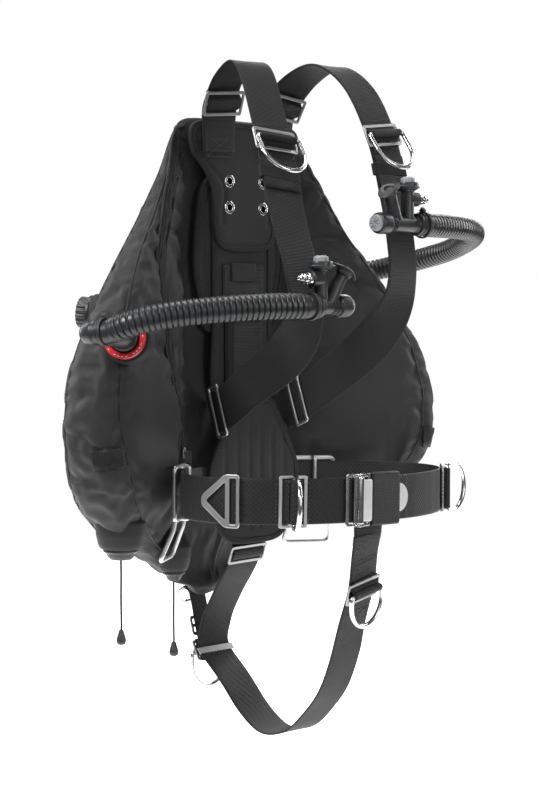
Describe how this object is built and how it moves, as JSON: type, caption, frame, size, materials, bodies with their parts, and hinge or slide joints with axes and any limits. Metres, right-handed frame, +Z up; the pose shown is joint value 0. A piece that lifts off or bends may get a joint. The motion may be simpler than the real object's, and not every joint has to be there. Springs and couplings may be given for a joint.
{
  "type": "buoyancy compensator vest",
  "caption": "Sidemount diving harness of black webbing with padded back panels, a twin-bladder air wing, two corrugated inflator hoses, steel rings and a crotch strap.",
  "frame": {"origin": "centre of the four spine grommets, on the front face of the top pad's steel eyelets", "axes": "+X towards the wearer's left, +Y towards the wearer's back, +Z up along the spine"},
  "size_m": [0.637, 0.3621, 0.7884],
  "materials": {
    "wing_cloth": "matt woven nylon",
    "bladder_film": "coated film",
    "zip": "satin coil zip",
    "pad_cloth": "matt quilted mesh",
    "webbing": "waffle weave",
    "elastic": "ribbed elastic",
    "hose_rubber": "satin corrugated",
    "soft_rubber": "smooth",
    "black_plastic": "satin moulded",
    "grey_plastic": "satin moulded",
    "red_plastic": "gloss moulded",
    "cord": "braided",
    "chrome_plate": "bright plated",
    "dark_steel": "bead blasted",
    "polished_steel": "polished stainless"
  },
  "bodies": {
    "harness": {"wing_cover": "wing_cloth", "main_bladder": "bladder_film", "reserve_bladder": "bladder_film", "wing_zipper": "zip", "wing_side_tabs": "webbing", "top_pad": "pad_cloth", "spine_panel": "pad_cloth", "spine_slider": "polished_steel", "lumbar_pad": "pad_cloth", "weight_pocket": "pad_cloth", "grommets": "polished_steel", "right_shoulder_strap": "webbing", "left_shoulder_strap": "webbing", "webbing_keepers": "elastic", "top_tri_glides": "dark_steel", "right_shoulder_slider": "polished_steel", "left_shoulder_slider": "polished_steel", "lumbar_sliders": "polished_steel", "belt_right": "webbing", "belt_left": "webbing", "triangle_slider": "polished_steel", "belt_ring_sliders": "polished_steel", "buckle_frame": "polished_steel", "buckle_plate": "polished_steel", "crotch_loop": "webbing", "right_door_handle": "polished_steel", "left_door_handle": "polished_steel", "crotch_strap": "webbing", "crotch_sliders": "dark_steel", "tail_strap": "webbing", "right_valve_ring": "red_plastic", "right_elbow": "black_plastic", "right_hose": "hose_rubber", "hose_ties": "black_plastic", "right_inflator": "black_plastic", "left_elbow": "black_plastic", "left_hose": "hose_rubber", "left_inflator": "black_plastic", "inflator_nipples": "chrome_plate", "mouthpieces": "soft_rubber", "relief_valve": "black_plastic", "main_dump_valve": "black_plastic", "reserve_dump_valve": "black_plastic"},
    "right_shoulder_ring": {"right_shoulder_ring": "polished_steel"},
    "left_shoulder_ring": {"left_shoulder_ring": "polished_steel"},
    "right_belt_ring": {"right_belt_ring": "polished_steel"},
    "left_belt_ring": {"left_belt_ring": "polished_steel"},
    "front_crotch_ring": {"front_crotch_ring": "polished_steel"},
    "rear_crotch_ring": {"rear_crotch_ring": "polished_steel"},
    "tail_ring": {"tail_ring": "polished_steel"},
    "buckle_lever": {"buckle_lever": "polished_steel"},
    "zipper_pull": {"zipper_pull": "zip"},
    "right_inflate_button": {"right_inflate_button": "grey_plastic"},
    "left_inflate_button": {"left_inflate_button": "grey_plastic"},
    "right_deflate_button": {"right_deflate_button": "grey_plastic"},
    "left_deflate_button": {"left_deflate_button": "grey_plastic"},
    "main_dump_pull": {"main_dump_cord": "cord", "main_dump_toggle": "black_plastic"},
    "reserve_dump_pull": {"reserve_dump_cord": "cord", "reserve_dump_toggle": "black_plastic"}
  },
  "joints": [
    {"name": "right_shoulder_ring_hinge", "type": "hinge", "parent": "harness", "child": "right_shoulder_ring", "pos_m": [-0.0828, -0.1399, 0.0538], "axis": [-0.9858, 0.1425, 0.0892], "range_deg": [-10, 130]},
    {"name": "left_shoulder_ring_hinge", "type": "hinge", "parent": "harness", "child": "left_shoulder_ring", "pos_m": [0.08475, -0.14627, 0.069], "axis": [-0.9939, -0.01, -0.1096], "range_deg": [-10, 130]},
    {"name": "right_belt_ring_hinge", "type": "hinge", "parent": "harness", "child": "right_belt_ring", "pos_m": [-0.12214, -0.20587, -0.34299], "axis": [-0.0128, 0.0074, -0.9999], "range_deg": [-88, 74]},
    {"name": "left_belt_ring_hinge", "type": "hinge", "parent": "harness", "child": "left_belt_ring", "pos_m": [0.15554, -0.18052, -0.34754], "axis": [-0.0084, -0.0085, -0.9999], "range_deg": [-28, 136]},
    {"name": "front_crotch_ring_hinge", "type": "hinge", "parent": "harness", "child": "front_crotch_ring", "pos_m": [-0.01268, -0.21025, -0.45076], "axis": [0.9825, 0.106, 0.1532], "range_deg": [-150, 4]},
    {"name": "rear_crotch_ring_hinge", "type": "hinge", "parent": "harness", "child": "rear_crotch_ring", "pos_m": [0, 0.0677, -0.55426], "axis": [1, 0, 0], "range_deg": [-20, 60]},
    {"name": "tail_ring_hinge", "type": "hinge", "parent": "harness", "child": "tail_ring", "pos_m": [0, 0.10039, -0.47834], "axis": [1, 0, 0], "range_deg": [-30, 100]},
    {"name": "buckle_lever_hinge", "type": "hinge", "parent": "harness", "child": "buckle_lever", "pos_m": [-0.04642, -0.23196, -0.34423], "axis": [-0.0166, 0.0028, -0.9999], "range_deg": [0, 95]},
    {"name": "zipper_pull_hinge", "type": "hinge", "parent": "harness", "child": "zipper_pull", "pos_m": [-0.09795, -0.00505, -0.30251], "axis": [-0.6428, -0.766, 0], "range_deg": [-8, 10]},
    {"name": "right_inflate_press", "type": "slide", "parent": "harness", "child": "right_inflate_button", "axis": [0, 0, -1], "range_m": [0, 0.003], "stiffness_N_per_m": 300, "springref_m": -0.001},
    {"name": "left_inflate_press", "type": "slide", "parent": "harness", "child": "left_inflate_button", "axis": [0, 0, -1], "range_m": [0, 0.003], "stiffness_N_per_m": 300, "springref_m": -0.001},
    {"name": "right_deflate_press", "type": "slide", "parent": "harness", "child": "right_deflate_button", "axis": [-1, 0, 0], "range_m": [0, 0.003], "stiffness_N_per_m": 300, "springref_m": -0.001},
    {"name": "left_deflate_press", "type": "slide", "parent": "harness", "child": "left_deflate_button", "axis": [1, 0, 0], "range_m": [0, 0.003], "stiffness_N_per_m": 300, "springref_m": -0.001},
    {"name": "main_dump_pull_slide", "type": "slide", "parent": "harness", "child": "main_dump_pull", "axis": [0, 0, -1], "range_m": [0, 0.008], "stiffness_N_per_m": 120, "springref_m": -0.003},
    {"name": "reserve_dump_pull_slide", "type": "slide", "parent": "harness", "child": "reserve_dump_pull", "axis": [0, 0, -1], "range_m": [0, 0.008], "stiffness_N_per_m": 120, "springref_m": -0.003}
  ]
}
